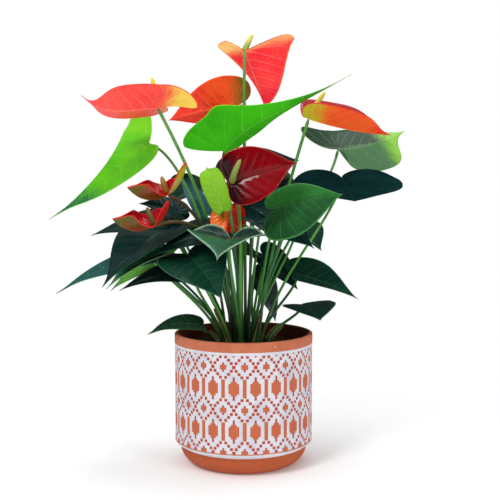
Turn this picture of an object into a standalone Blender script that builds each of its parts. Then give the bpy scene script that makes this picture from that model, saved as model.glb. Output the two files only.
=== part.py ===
"""A potted anthurium: eight flowers and seventeen leaves rising on their stems from a patterned clay pot.

Metres, Z up. The origin is the centre of the flat base of the pot, and the front of the plant faces -Y.
"""

import math
from types import SimpleNamespace

import bmesh
import bpy
import numpy as np

MM = 0.001

# Driving dimensions.
POT_RADIUS = 0.075
POT_HEIGHT = 0.1415
POT_WALL = 0.0055
POT_FLOOR = 0.0065
FOOT_INSET = 0.024
FOOT_RADIUS = POT_RADIUS - FOOT_INSET
RIM_BAND = 0.0101
CHAMFER_TOP = 0.0245
CHAMFER_BOTTOM = 0.0203
SOIL_BELOW_RIM = 0.0145
SOIL_MOUND = 0.004
PLANT_SCALE = 1.0
LEAF_STEM_RADIUS = 0.0017
FLOWER_STEM_RADIUS = 0.0020
SPADIX_RADIUS = 0.0031
BLADE_THICKNESS = 0.0009
GAP = 0.0003

SPOKES = 20
RINGS = 3
STEM_STEPS = 12
TURN_STEPS = 48

SOIL_LEVEL = POT_HEIGHT - SOIL_BELOW_RIM

# Shape of a blade, in millimetres from the centre of the soil.
LEAF = dict(
    bow=0.06, skew=0.0, side=0.0, fold=(0.25, 0.25), cup=(0.0, 0.0), twist=0.0, lift=0.0,
    lobe=0.28, widest=0.1, belly=1.0, sinus=0.06, ripple=0.0, waves=3.0, phase=0.0,
    root=(0, 0), rise=None, arrive=0.5, radius=1.0, via=None, spadix=None, drip=0.0, open=0.0, gather=0.0,
    slim=0.0, flare=0.0,
)


def blade(name, base, tip, face, width, **more):
    """A heart-shaped blade: where it joins its stem, its tip, the way it faces, and its two half widths."""
    values = dict(LEAF)
    values.update(more)
    return SimpleNamespace(name=name, base=base, tip=tip, face=face, width=width, **values)


FLOWERS = [
    blade("1", (1, 30, 321), (23, 44, 262), (0.05, 0.93, 0.36), (28, 56), fold=(0.3, 0.15), lobe=(0.25, 0.02),
          widest=(-0.18, 0.13), belly=(-0.1, 1.3), open=(1.0, 1.0), flare=(0, 1.0), sinus=0.0, bow=0.05,
          root=(2, 9), spadix=(9, 12, 20)),
    blade("2", (-89, -26, 254), (-166, -42, 266), (0, 0.41, 0.91), (36, 30), fold=(0.34, 0.2), lobe=(0.48,
          0.15),
          widest=(0.32, 0.3), belly=(1.3, 1.6), slim=(0.42, 0), drip=0.95, bow=-0.13, skew=0.3, lift=-1.0,
          root=(-13, -4), spadix=(-7, 8, 33), rise=(-4, -6, 100), via=(-57, -18, 192)),
    blade("3", (-13, 60, 264), (-84, 42, 246), (0, 0.85, 0.5), (35, 23), fold=(0.2, 0.2), lobe=0.3,
          widest=0.1, bow=0.05, root=(-6, 14), spadix=(-6, 12, 24), arrive=0.3),
    blade("4", (70, 0, 245), (160, 10, 228), (0, 0.0, 1.0), (42, 36), fold=(0.75, 0.5), lobe=0.12,
          widest=(0.4, 0.35), bow=-0.03, root=(15, -4), spadix=(18, 6, 29), arrive=0.1),
    blade("5", (-10, -98, 177), (52, -98, 196), (-0.1, -1, 0.15), (30, 27), fold=(0.15, 0.15), lobe=0.1,
          widest=0.2, bow=0.06, root=(-3, -17), spadix=(8, -8, 22), arrive=0.3),
    blade("6", (-14, -34, 147), (-20, -46, 119), (-0.1, 0.95, -0.1), (19, 19), fold=(0.3, 0.3), lobe=0.25,
          widest=0.25, belly=1.3, bow=0.08, root=(-3, -9), spadix=(1, 10, 9), arrive=0.45),
    blade("7", (-77, -50, 164), (-118, -58, 172), (0, -0.2, 0.97), (25, 22), fold=(0.2, 0.4), lobe=(0.5, 0.25),
          widest=0.35, belly=2.2, bow=-0.2, lift=1.6, gather=1.3, open=(0.9, 0), flare=(0.6, 0.3),
          root=(-10, -10),
          spadix=(-7, 4, 19), rise=(-5, -4, 80), via=(-43, -35, 152)),
    blade("8", (-88, -80, 134), (-129, -88, 141), (0, -0.2, 0.97), (25, 22), fold=(0.2, 0.4), lobe=(0.42,
          0.25),
          widest=0.35, belly=2.2, bow=-0.2, lift=1.4, gather=1.3, open=(0.9, 0), flare=(0.6, 0.3),
          root=(-8, -17),
          spadix=(-8, 4, 18), rise=(2, 1, 95), via=(-43, -40, 152)),
]

LEAVES = [
    blade("01", (-107, 12, 218), (-199, -50, 139), (-0.5, -0.44, 0.65), (34, 36), fold=(-0.1, 0.45),
          lobe=(0.02, 0.34), widest=(0.3, -0.05), belly=(1.4, 0.45), lift=2.4, drip=(0.5, 1.6), open=(0.5,
          0.8),
          bow=0.0, side=0.07, root=(-19, 4), rise=(-8, 6, 110), via=(-76, 12, 224)),
    blade("02", (-18, -30, 211), (115, 0, 292), (0.2, -0.9, 0.3), (41, 11), fold=(0.05, -0.7), side=0.042,
          lobe=(0.22, 0.02), widest=(0.06, 0.2), belly=(0.1, 0.2), drip=(2.2, 1.6), open=(1.0, 0), sinus=0.02,
          bow=0.03, root=(0, -5), via=(-32, -6, 202)),
    blade("03", (108, 68, 215), (186, 80, 236), (0, -0.1, 1.0), (36, 36), fold=(0.6, -1.0), bow=-0.05,
          lobe=(0.5, -0.1), lift=0.9, widest=(0.1, 0.62), belly=(1.1, 0.7), root=(15, 12), rise=(6, 16, 100)),
    blade("04", (109, 25, 180), (112, -72, 158), (0, -0.3, 0.95), (63, 55), fold=(0.0, 0.0), lobe=0.25,
          widest=0.15, belly=1.4, bow=0.0, lift=1.0, root=(19, 2)),
    blade("05", (41, -74, 153), (99, -84, 165), (0, -0.8, 0.6), (22, 43), fold=(0.1, 0.1), lobe=(0.33, 0.38),
          belly=(1.0, 1.1), drip=0.3, root=(8, -13)),
    blade("06", (-14, -78, 119), (-24, -142, 104), (0, -0.3, 0.95), (38, 42), fold=(0.2, 0.2), lobe=0.34,
          lift=2.4,
          drip=0.7, bow=0.12, root=(-4, -22)),
    blade("07", (-54, -58, 101), (-20, -116, 65), (0.1, -0.85, 0.5), (34, 36), fold=(0.2, 0.2), lobe=0.2,
          root=(-15, -19)),
    blade("08", (-76, -14, 129), (-138, -100, 74), (-0.3, -0.6, 0.75), (36, 42), fold=(0.2, 0.2),
          lobe=(0.1, 0.24), drip=0.5, root=(-17, -2)),
    blade("09", (-80, 34, 134), (-172, 40, 117), (-0.1, -0.5, 0.85), (34, 22), fold=(0.2, 0.2), lobe=0.2,
          drip=0.5, root=(-19, 11)),
    blade("10", (-101, 0, 98), (-204, 0, 56), (-0.2, -0.4, 0.9), (26, 20), fold=(0.1, 0.1), lobe=0.25,
          drip=0.4, root=(-24, 1)),
    blade("11", (-95, 40, 90), (-155, 70, 51), (-0.3, -0.7, 0.6), (12, 12), fold=(0.2, 0.2), lobe=0.3,
          root=(-21, 16)),
    blade("12", (-52, -28, 80), (-128, -50, 65), (0, -0.5, 0.85), (20, 19), fold=(0.1, 0.1), lobe=0.12,
          bow=0.12,
          drip=0.5, root=(-21, -11)),
    blade("13", (-49, -6, 23), (-103, -16, 14), (0, -0.5, 0.85), (14, 14), fold=(0.2, 0.2), lobe=0.12,
          bow=0.12,
          root=(-27, -4)),
    blade("14", (60, 34, 74), (126, 4, 49), (0.25, -0.85, 0.45), (24, 9), fold=(0.1, 0.1), lobe=(0.28, 0.05),
          bow=0.09, drip=0.6, root=(19, 13)),
    blade("15", (66, 30, 40), (82, -22, 30), (0, -0.35, 0.93), (35, 24), fold=(0.0, 0.1), lobe=0.24,
          belly=1.2, root=(27, 3)),
    blade("16", (25, 57, 92), (62, 56, 54), (0.3, -0.8, 0.5), (20, 16), fold=(0.2, 0.2), lobe=0.25,
          root=(8, 18)),
    blade("17", (-42, 24, 144), (-76, 44, 191), (0.4, -0.85, 0.3), (14, 10), fold=(0.1, 0.1), lobe=0.1,
          root=(-11, 10)),
]


def pair(value):
    return value if isinstance(value, tuple) else (value, value)


def outline(b, u, side):
    """Edge of the heart at u, from 0 at the tip to 1 at the notch: along the midrib, and across it."""
    u = np.asarray(u, float)
    w, lobe, belly, drip, wide, slim, flare = (
        pair(value)[side] for value in (b.widest, b.lobe, b.belly, b.drip, b.open, b.slim, b.flare))
    shoulder = 0.4 + 0.4 * min(1, belly)
    back = (0.46 + 0.16 * wide) * (1 - slim)
    spans = (
        (0.0, 0.5, ((1, 0), (shoulder - 0.1 * drip + 0.2 * flare, 0.16 * belly * (1 - drip) + 0.25 * flare),
                    (w + 0.1 + 0.32 * belly * (1 - flare), 1 - 0.28 * flare), (w, 1))),
        (0.5, 0.8, ((w, 1), (w - 0.5 * (w + lobe), 1), (-lobe, (0.86 + 0.08 * wide) * (1 - slim)), (-lobe, back))),
        (0.8, 1.0, ((-lobe, back), (-lobe * (1 - 0.2 * wide), (0.16 + 0.22 * wide) * (1 - slim)),
                    (-lobe * (0.6 - 0.25 * wide), 0.14 * wide), (-b.sinus, 0))),
    )
    x = np.zeros_like(u)
    y = np.zeros_like(u)
    for start, end, (p0, p1, p2, p3) in spans:
        inside = (u >= start) & (u <= end)
        t = (u[inside] - start) / (end - start)
        a, k, c, d = (1 - t) ** 3, 3 * t * (1 - t) ** 2, 3 * t * t * (1 - t), t ** 3
        x[inside] = a * p0[0] + k * p1[0] + c * p2[0] + d * p3[0]
        y[inside] = a * p0[1] + k * p1[1] + c * p2[1] + d * p3[1]
    return x, y


def unit(v):
    v = np.asarray(v, float)
    return v / np.linalg.norm(v)


def axes(b):
    """Base, length, and the directions to the tip, to the left edge and out of the upper face."""
    base = np.array(b.base, float)
    chord = np.array(b.tip, float) - base
    length = np.linalg.norm(chord)
    along = chord / length
    face = np.array(b.face, float)
    up = unit(face - along * face.dot(along))
    return base, length, along, np.cross(up, along), up


def surface(b, x, y):
    """Points of the middle surface at x along the midrib (0 base, 1 tip) and y across it (-1 to 1)."""
    x = np.asarray(x, float)
    y = np.asarray(y, float)
    base, length, along, left, up = axes(b)
    ahead = np.maximum(x, 0)
    behind = np.minimum(x, 0)
    s_curve = b.skew * ahead * (1 - ahead) * (1 - 2 * ahead)
    height = 4 * b.bow * x * (1 - ahead) + s_curve + b.lift * behind ** 2
    slope = 4 * b.bow * (1 - 2 * ahead) + b.skew * (1 - 6 * ahead + 6 * ahead ** 2) + 2 * b.lift * behind
    sideways = 9.5 * b.side * ahead * (1 - ahead) ** 3
    q = np.abs(y)
    first = y >= 0
    half = np.where(first, b.width[0], b.width[1])
    fold = np.where(first, b.fold[0], b.fold[1]) + b.gather * np.abs(x)
    cup = np.where(first, b.cup[0], b.cup[1])
    cup = np.where(np.abs(cup) < 1e-3, 1e-3, cup)
    out = half * (np.sin(fold + cup * q) - np.sin(fold)) / cup
    rise = half * (np.cos(fold) - np.cos(fold + cup * q)) / cup
    around = np.arctan2(y * half, x * length)
    rise = rise + b.ripple * q ** 2 * np.sin(b.waves * around + b.phase)
    out = np.where(first, out, -out)
    turn = b.twist * x
    across = out * np.cos(turn) - rise * np.sin(turn)
    lifted = out * np.sin(turn) + rise * np.cos(turn)
    normal = (up - along * slope[..., None]) / np.sqrt(1 + slope ** 2)[..., None]
    spine = base + along * (x * length)[..., None] + up * (height * length)[..., None]
    return spine + left * (sideways * length + across)[..., None] + normal * lifted[..., None]


def normal_at_base(b):
    _, _, along, _, up = axes(b)
    slope = 4 * b.bow + b.skew
    return unit(up - along * slope)


def joint(b, radius, direction, side):
    """Where a round end of this radius, coming along direction, stops just short of the blade."""
    normal = normal_at_base(b) * side
    lean = math.acos(min(1.0, abs(float(normal.dot(direction)))))
    steep = max(0.0, *(side * f for f in b.fold))
    away = BLADE_THICKNESS / 2 + GAP + radius * (math.sin(lean) + math.tan(min(steep, 1.2)))
    return np.array(b.base, float) * MM * PLANT_SCALE + normal * away


def bezier(points, steps):
    t = np.linspace(0, 1, steps + 1)[:, None]
    p0, p1, p2, p3 = (np.array(p, float) for p in points)
    return (1 - t) ** 3 * p0 + 3 * t * (1 - t) ** 2 * p1 + 3 * t * t * (1 - t) * p2 + t ** 3 * p3


def mound(r):
    return SOIL_MOUND * (1 - min(1.0, r / (POT_RADIUS - POT_WALL)) ** 2)


def stem_path(b, radius, steps=STEM_STEPS):
    """Centre line of the stem in metres from the centre of the soil, up from the soil to the blade."""
    normal = normal_at_base(b)
    start = np.array((b.root[0] * MM, b.root[1] * MM, 0.0)) * PLANT_SCALE
    start[2] = mound(math.hypot(start[0], start[1])) + GAP + 0.0004
    base = np.array(b.base, float) * MM * PLANT_SCALE
    toward = unit(base - start)
    direction = unit(normal * (1 - b.arrive) + toward * b.arrive)
    if b.via:
        direction = unit(np.array(b.base, float) - np.array(b.via, float))
    end = joint(b, radius, direction, -1)
    reach = np.linalg.norm(end - start)
    if b.rise:
        lower = start + np.array(b.rise, float) * MM * PLANT_SCALE
    else:
        lower = start + (toward * 0.5 + np.array((0, 0, 0.5))) * reach * 0.4
    upper = end - direction * reach * 0.25
    if b.via:
        upper = np.array(b.via, float) * MM * PLANT_SCALE
    return bezier((start, lower, upper, end), steps)


def spadix_path(b, radius, steps=6):
    top = np.array(b.base, float) + np.array(b.spadix, float)
    normal = normal_at_base(b)
    reach = unit(b.spadix)
    direction = unit(reach * 0.5 + normal * 0.5)
    start = joint(b, radius, direction, 1)
    end = top * MM * PLANT_SCALE
    bend = start + direction * np.linalg.norm(end - start) * 0.45
    t = np.linspace(0, 1, steps + 1)[:, None]
    return (1 - t) ** 2 * start + 2 * t * (1 - t) * bend + t * t * end


def clear_scene():
    for obj in list(bpy.data.objects):
        bpy.data.objects.remove(obj, do_unlink=True)


def material(name, color, roughness, metallic=0.0):
    made = bpy.data.materials.new(name)
    made.use_nodes = True
    made.diffuse_color = (*color, 1)
    shader = made.node_tree.nodes["Principled BSDF"]
    shader.inputs["Base Color"].default_value = (*color, 1)
    shader.inputs["Roughness"].default_value = roughness
    shader.inputs["Metallic"].default_value = metallic
    return made


def add_object(name, data, collection, look):
    data.materials.append(look)
    obj = bpy.data.objects.new(name, data)
    collection.objects.link(obj)
    return obj


def shade_smooth(obj):
    obj.data.shade_smooth()


def turned(name, profile, collection, look):
    """A Screw round Z of a profile given as (radius, height) down its outer side."""
    mesh = bpy.data.meshes.new(name)
    bm = bmesh.new()
    verts = [bm.verts.new((r, 0, z)) for r, z in profile]
    for first, second in zip(verts, verts[1:]):
        bm.edges.new((first, second))
    bm.to_mesh(mesh)
    bm.free()
    obj = add_object(name, mesh, collection, look)
    screw = obj.modifiers.new("turn", "SCREW")
    screw.steps = TURN_STEPS
    screw.render_steps = TURN_STEPS
    screw.use_merge_vertices = True
    screw.merge_threshold = 0.00005
    screw.use_smooth_shade = True
    return obj


def add_pot(collection, look):
    r, h = POT_RADIUS, POT_HEIGHT
    inner = r - POT_WALL
    floor = POT_FLOOR
    profile = (
        (inner, h - 0.0012), (inner + 0.0012, h), (r - 0.0012, h), (r, h - 0.0012),
        (r, h - RIM_BAND), (r - 0.0003, h - RIM_BAND - 0.0003), (r - 0.0003, CHAMFER_TOP),
        (r - 0.0062, CHAMFER_BOTTOM), (r - 0.0068, 0.015), (r - 0.0095, 0.009), (r - 0.0145, 0.0038),
        (r - 0.0195, 0.0009), (FOOT_RADIUS, 0.0), (0.0, 0.0),
    )
    inside = (
        (0.0, floor), (FOOT_RADIUS - 0.004, floor), (FOOT_RADIUS + 0.006, floor + 0.006),
        (inner - 0.006, floor + 0.014), (inner, CHAMFER_TOP + 0.004), (inner, h - 0.0012),
    )
    return turned("pot", profile + inside, collection, look)


def add_potting_mix(collection, look):
    inner = POT_RADIUS - POT_WALL - GAP
    low = POT_FLOOR + GAP
    top = [(inner * k, SOIL_LEVEL + mound(inner * k)) for k in (0.0, 0.25, 0.5, 0.75, 0.93)]
    side = [
        (inner, SOIL_LEVEL - 0.0006), (inner, CHAMFER_TOP + 0.004), (inner - 0.006, low + 0.0142),
        (FOOT_RADIUS + 0.0055, low + 0.0063), (FOOT_RADIUS - 0.0045, low), (0.0, low),
    ]
    return turned("potting_mix", top + side, collection, look)


def add_blade(name, b, collection, look, thickness=BLADE_THICKNESS):
    """A grid wrapped round the joint as a fan, laid on the blade's surface and given its thickness."""
    bm = bmesh.new()
    bmesh.ops.create_grid(bm, x_segments=SPOKES, y_segments=RINGS, size=1)
    grid = np.array([v.co[:2] for v in bm.verts])
    around, out = grid[:, 0], (grid[:, 1] + 1) / 2
    left, right = (outline(b, np.abs(around), side) for side in (0, 1))
    first = around >= 0
    x = np.where(first, left[0], right[0]) * out
    y = np.where(first, left[1], -right[1]) * out
    points = surface(b, x, y) * MM * PLANT_SCALE + np.array((0, 0, SOIL_LEVEL))
    for vert, point in zip(bm.verts, points):
        vert.co = point
    bmesh.ops.remove_doubles(bm, verts=bm.verts, dist=0.0001)
    bmesh.ops.recalc_face_normals(bm, faces=bm.faces)
    mesh = bpy.data.meshes.new(name)
    bm.to_mesh(mesh)
    bm.free()
    obj = add_object(name, mesh, collection, look)
    solid = obj.modifiers.new("thickness", "SOLIDIFY")
    solid.thickness = thickness
    solid.offset = 0
    shade_smooth(obj)
    return obj


def add_round(name, path, radii, collection, look):
    """A round stem along a path, with filled ends."""
    curve = bpy.data.curves.new(name, "CURVE")
    curve.dimensions = "3D"
    curve.bevel_depth = 1
    curve.bevel_resolution = 2
    curve.use_fill_caps = True
    spline = curve.splines.new("POLY")
    spline.points.add(len(path) - 1)
    for point, place, radius in zip(spline.points, path, radii):
        point.co = (*place, 1)
        point.radius = radius
    obj = add_object(name, curve, collection, look)
    weld = obj.modifiers.new("weld", "WELD")
    weld.merge_threshold = 0.00005
    return obj


def on_soil(path):
    return path + np.array((0, 0, SOIL_LEVEL))


def add_flower(b, collection, looks):
    add_blade("spathe_" + b.name, b, collection, looks["spathe"])
    radius = FLOWER_STEM_RADIUS * b.radius
    path = on_soil(stem_path(b, radius))
    add_round("flower_stem_" + b.name, path, [radius] * len(path), collection, looks["stem"])
    thick = SPADIX_RADIUS * b.radius
    spike = on_soil(spadix_path(b, thick))
    taper = [thick * k for k in (0.8, 1.0, 0.98, 0.92, 0.83, 0.7, 0.36)]
    add_round("spadix_" + b.name, spike, taper, collection, looks["spadix"])


def add_leaf(b, collection, looks):
    add_blade("leaf_" + b.name, b, collection, looks["leaf"])
    radius = LEAF_STEM_RADIUS * b.radius
    path = on_soil(stem_path(b, radius))
    add_round("leaf_stem_" + b.name, path, [radius] * len(path), collection, looks["stem"])


def main():
    clear_scene()
    collection = bpy.data.collections.new("potted_anthurium")
    bpy.context.scene.collection.children.link(collection)
    looks = {
        "clay": material("terracotta", (0.55, 0.19, 0.085), 0.6),
        "soil": material("soil", (0.035, 0.018, 0.01), 0.95),
        "leaf": material("leaf", (0.012, 0.06, 0.03), 0.35),
        "stem": material("stem", (0.06, 0.17, 0.035), 0.4),
        "spathe": material("spathe", (0.75, 0.035, 0.02), 0.3),
        "spadix": material("spadix", (0.6, 0.5, 0.06), 0.5),
    }
    add_pot(collection, looks["clay"])
    add_potting_mix(collection, looks["soil"])
    for b in FLOWERS:
        add_flower(b, collection, looks)
    for b in LEAVES:
        add_leaf(b, collection, looks)


main()
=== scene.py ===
"""Looks for a potted anthurium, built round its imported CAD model. Metres, +Z up, the front faces -Y."""
import math
import random
from types import SimpleNamespace

import bmesh
import bpy
import numpy as np
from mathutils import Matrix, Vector, noise


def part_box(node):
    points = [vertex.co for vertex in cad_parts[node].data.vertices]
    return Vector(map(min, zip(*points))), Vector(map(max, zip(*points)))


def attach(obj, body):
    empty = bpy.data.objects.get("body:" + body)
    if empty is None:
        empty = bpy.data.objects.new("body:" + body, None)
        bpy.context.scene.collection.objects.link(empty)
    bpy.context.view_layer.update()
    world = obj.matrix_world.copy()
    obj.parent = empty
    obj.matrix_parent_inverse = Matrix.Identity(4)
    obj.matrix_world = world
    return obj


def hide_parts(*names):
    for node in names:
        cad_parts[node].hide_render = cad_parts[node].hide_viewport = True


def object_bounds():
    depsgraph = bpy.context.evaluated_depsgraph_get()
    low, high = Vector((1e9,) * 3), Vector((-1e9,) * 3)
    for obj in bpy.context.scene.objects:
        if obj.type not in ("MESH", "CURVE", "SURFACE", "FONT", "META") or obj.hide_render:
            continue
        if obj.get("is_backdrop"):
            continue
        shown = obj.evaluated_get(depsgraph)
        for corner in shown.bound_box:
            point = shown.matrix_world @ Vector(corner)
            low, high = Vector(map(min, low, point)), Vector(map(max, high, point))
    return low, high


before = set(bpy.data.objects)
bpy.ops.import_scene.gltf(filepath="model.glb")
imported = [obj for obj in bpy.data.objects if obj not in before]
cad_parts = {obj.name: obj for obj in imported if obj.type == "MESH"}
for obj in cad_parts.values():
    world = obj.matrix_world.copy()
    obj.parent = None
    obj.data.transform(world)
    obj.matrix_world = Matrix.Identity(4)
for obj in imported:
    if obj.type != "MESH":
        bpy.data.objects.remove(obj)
cad_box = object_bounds()

MM = 0.001

# Sizes of the parts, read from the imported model.
POT_LOW, POT_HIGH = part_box("pot")
POT_RADIUS = POT_HIGH[0]
POT_HEIGHT = POT_HIGH[2]
SOIL_MOUND = 0.004
SOIL_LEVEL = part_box("potting_mix")[1][2] - SOIL_MOUND
SOIL_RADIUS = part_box("potting_mix")[1][0]
POT_WALL = POT_RADIUS - SOIL_RADIUS - 0.0003

# Sizes of what the looks add.
LEAF_STEM_RADIUS = 0.0017
FLOWER_STEM_RADIUS = 0.0020
SPADIX_RADIUS = 0.0031
BLADE_THICKNESS = 0.0007
GAP = 0.0003
PLANT_SCALE = 1.0
FLORET = 0.0013
CRUMBS = 420

# How finely each kind of piece is divided, along it or outwards, and round it.
STEM_STEPS = 40
STEM_SIDES = 20
SPADIX_STEPS = 110
SPADIX_SIDES = 56
BLADE_SPOKES = 128
BLADE_RINGS = 22
POT_SIDES = 192
SOIL_RINGS = 60
SOIL_SIDES = 150

# Side veins: how many there are, how far they lean and arch towards the tip, and their spread in a lobe.
SIDE_VEINS = 6.5
VEIN_LEAN = 0.55
VEIN_ARCH = 0.22
VEIN_FAN = 0.40

# Height in millimetres of the puckers between the veins, and of the waves of the margin.
SPATHE_PUCKER = 0.5
SPATHE_WANDER = 0.5
LEAF_PUCKER = 0.45
LEAF_WANDER = 0.7

# The pot's pattern: repeats round it, where they start, the height of a row of stars and from row to row.
PATTERN_REPEATS = 21
PATTERN_START = -124.2
STAR_HEIGHT = 0.0724
ROW_PITCH = 0.0444

# The camera's place, degrees below level, focal length and film width in millimetres.
CAMERA_PLACE = (0.007, -1.0, 0.303)
CAMERA_DOWN = 4.13
LENS = 66.6
FILM_WIDTH = 36

# The surroundings are white to the camera. They light the plant more from above than from the sides.
FLOOR_RADIUS = 30
SKY_EDGE = 0.06
SKY_TOP = 1.0
LIGHTS = [
    # name, place, size, power
    ("key", (-1.1, -1.5, 1.8), 0.7, 26),
    ("fill", (1.5, -1.6, 0.9), 0.9, 12),
    ("top", (0.2, 0.2, 2.2), 1.0, 14),
]

# Shape of a blade, in millimetres from the centre of the soil.
LEAF = dict(
    # along the midrib, then across it
    bow=0.06, skew=0.0, side=0.0, lift=0.0, fold=(0.25, 0.25), gather=0.0,
    # the outline
    lobe=0.28, widest=0.1, belly=1.0, sinus=0.06, drip=0.0, open=0.0, slim=0.0, flare=0.0,
    # the stem and the spike
    root=(0, 0), rise=None, via=None, arrive=0.5, spadix=None,
)

# How much each half of a blade is rolled, in radians. It isn't 0, because the roll is divided by it.
CUP = 0.001


def blade(name, base, tip, face, width, **more):
    """A heart-shaped blade: where it joins its stem, its tip, the way it faces, and its two half widths."""
    values = dict(LEAF)
    values.update(more)
    return SimpleNamespace(name=name, base=base, tip=tip, face=face, width=width, **values)


FLOWERS = [
    blade("1", (1, 30, 321), (23, 44, 262), (0.05, 0.93, 0.36), (28, 56), fold=(0.3, 0.15),
          lobe=(0.25, 0.02), widest=(-0.18, 0.13), belly=(-0.1, 1.3), open=(1.0, 1.0), flare=(0, 1.0),
          sinus=0.0, bow=0.05, root=(2, 9), spadix=(9, 12, 20)),
    blade("2", (-89, -26, 254), (-166, -42, 266), (0, 0.41, 0.91), (36, 30), fold=(0.34, 0.2),
          lobe=(0.48, 0.15), widest=(0.32, 0.3), belly=(1.3, 1.6), slim=(0.42, 0), drip=0.95, bow=-0.13,
          skew=0.3, lift=-1.0, root=(-13, -4), spadix=(-7, 8, 33), rise=(-4, -6, 100), via=(-57, -18, 192)),
    blade("3", (-13, 60, 264), (-84, 42, 246), (0, 0.85, 0.5), (35, 23), fold=(0.2, 0.2), lobe=0.3,
          widest=0.1, bow=0.05, root=(-6, 14), spadix=(-6, 12, 24), arrive=0.3),
    blade("4", (70, 0, 245), (160, 10, 228), (0, 0.0, 1.0), (42, 36), fold=(0.75, 0.5), lobe=0.12,
          widest=(0.4, 0.35), bow=-0.03, root=(15, -4), spadix=(18, 6, 29), arrive=0.1),
    blade("5", (-10, -98, 177), (52, -98, 196), (-0.1, -1, 0.15), (30, 27), fold=(0.15, 0.15), lobe=0.1,
          widest=0.2, bow=0.06, root=(-3, -17), spadix=(8, -8, 22), arrive=0.3),
    blade("6", (-14, -34, 147), (-20, -46, 119), (-0.1, 0.95, -0.1), (19, 19), fold=(0.3, 0.3), lobe=0.25,
          widest=0.25, belly=1.3, bow=0.08, root=(-3, -9), spadix=(1, 10, 9), arrive=0.45),
    blade("7", (-77, -50, 164), (-118, -58, 172), (0, -0.2, 0.97), (25, 22), fold=(0.2, 0.4),
          lobe=(0.5, 0.25), widest=0.35, belly=2.2, bow=-0.2, lift=1.6, gather=1.3, open=(0.9, 0),
          flare=(0.6, 0.3), root=(-10, -10), spadix=(-7, 4, 19), rise=(-5, -4, 80), via=(-43, -35, 152)),
    blade("8", (-88, -80, 134), (-129, -88, 141), (0, -0.2, 0.97), (25, 22), fold=(0.2, 0.4),
          lobe=(0.42, 0.25), widest=0.35, belly=2.2, bow=-0.2, lift=1.4, gather=1.3, open=(0.9, 0),
          flare=(0.6, 0.3), root=(-8, -17), spadix=(-8, 4, 18), rise=(2, 1, 95), via=(-43, -40, 152)),
]

LEAVES = [
    blade("01", (-107, 12, 218), (-199, -50, 139), (-0.5, -0.44, 0.65), (34, 36), fold=(-0.1, 0.45),
          lobe=(0.02, 0.34), widest=(0.3, -0.05), belly=(1.4, 0.45), lift=2.4, drip=(0.5, 1.6),
          open=(0.5, 0.8), bow=0.0, side=0.07, root=(-19, 4), rise=(-8, 6, 110), via=(-76, 12, 224)),
    blade("02", (-18, -30, 211), (115, 0, 292), (0.2, -0.9, 0.3), (41, 11), fold=(0.05, -0.7), side=0.042,
          lobe=(0.22, 0.02), widest=(0.06, 0.2), belly=(0.1, 0.2), drip=(2.2, 1.6), open=(1.0, 0),
          sinus=0.02, bow=0.03, root=(0, -5), via=(-32, -6, 202)),
    blade("03", (108, 68, 215), (186, 80, 236), (0, -0.1, 1.0), (36, 36), fold=(0.6, -1.0), bow=-0.05,
          lobe=(0.5, -0.1), lift=0.9, widest=(0.1, 0.62), belly=(1.1, 0.7), root=(15, 12),
          rise=(6, 16, 100)),
    blade("04", (109, 25, 180), (112, -72, 158), (0, -0.3, 0.95), (63, 55), fold=(0.0, 0.0), lobe=0.25,
          widest=0.15, belly=1.4, bow=0.0, lift=1.0, root=(19, 2)),
    blade("05", (41, -74, 153), (99, -84, 165), (0, -0.8, 0.6), (22, 43), fold=(0.1, 0.1),
          lobe=(0.33, 0.38), belly=(1.0, 1.1), drip=0.3, root=(8, -13)),
    blade("06", (-14, -78, 119), (-24, -142, 104), (0, -0.3, 0.95), (38, 42), fold=(0.2, 0.2), lobe=0.34,
          lift=2.4, drip=0.7, bow=0.12, root=(-4, -22)),
    blade("07", (-54, -58, 101), (-20, -116, 65), (0.1, -0.85, 0.5), (34, 36), fold=(0.2, 0.2), lobe=0.2,
          root=(-15, -19)),
    blade("08", (-76, -14, 129), (-138, -100, 74), (-0.3, -0.6, 0.75), (36, 42), fold=(0.2, 0.2),
          lobe=(0.1, 0.24), drip=0.5, root=(-17, -2)),
    blade("09", (-80, 34, 134), (-172, 40, 117), (-0.1, -0.5, 0.85), (34, 22), fold=(0.2, 0.2), lobe=0.2,
          drip=0.5, root=(-19, 11)),
    blade("10", (-101, 0, 98), (-204, 0, 56), (-0.2, -0.4, 0.9), (26, 20), fold=(0.1, 0.1), lobe=0.25,
          drip=0.4, root=(-24, 1)),
    blade("11", (-95, 40, 90), (-155, 70, 51), (-0.3, -0.7, 0.6), (12, 12), fold=(0.2, 0.2), lobe=0.3,
          root=(-21, 16)),
    blade("12", (-52, -28, 80), (-128, -50, 65), (0, -0.5, 0.85), (20, 19), fold=(0.1, 0.1), lobe=0.12,
          bow=0.12, drip=0.5, root=(-21, -11)),
    blade("13", (-49, -6, 23), (-103, -16, 14), (0, -0.5, 0.85), (14, 14), fold=(0.2, 0.2), lobe=0.12,
          bow=0.12, root=(-27, -4)),
    blade("14", (60, 34, 74), (126, 4, 49), (0.25, -0.85, 0.45), (24, 9), fold=(0.1, 0.1),
          lobe=(0.28, 0.05), bow=0.09, drip=0.6, root=(19, 13)),
    blade("15", (66, 30, 40), (82, -22, 30), (0, -0.35, 0.93), (35, 24), fold=(0.0, 0.1), lobe=0.24,
          belly=1.2, root=(27, 3)),
    blade("16", (25, 57, 92), (62, 56, 54), (0.3, -0.8, 0.5), (20, 16), fold=(0.2, 0.2), lobe=0.25,
          root=(8, 18)),
    blade("17", (-42, 24, 144), (-76, 44, 191), (0.4, -0.85, 0.3), (14, 10), fold=(0.1, 0.1), lobe=0.1,
          root=(-11, 10)),
]


def pair(value):
    return value if isinstance(value, tuple) else (value, value)


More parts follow.
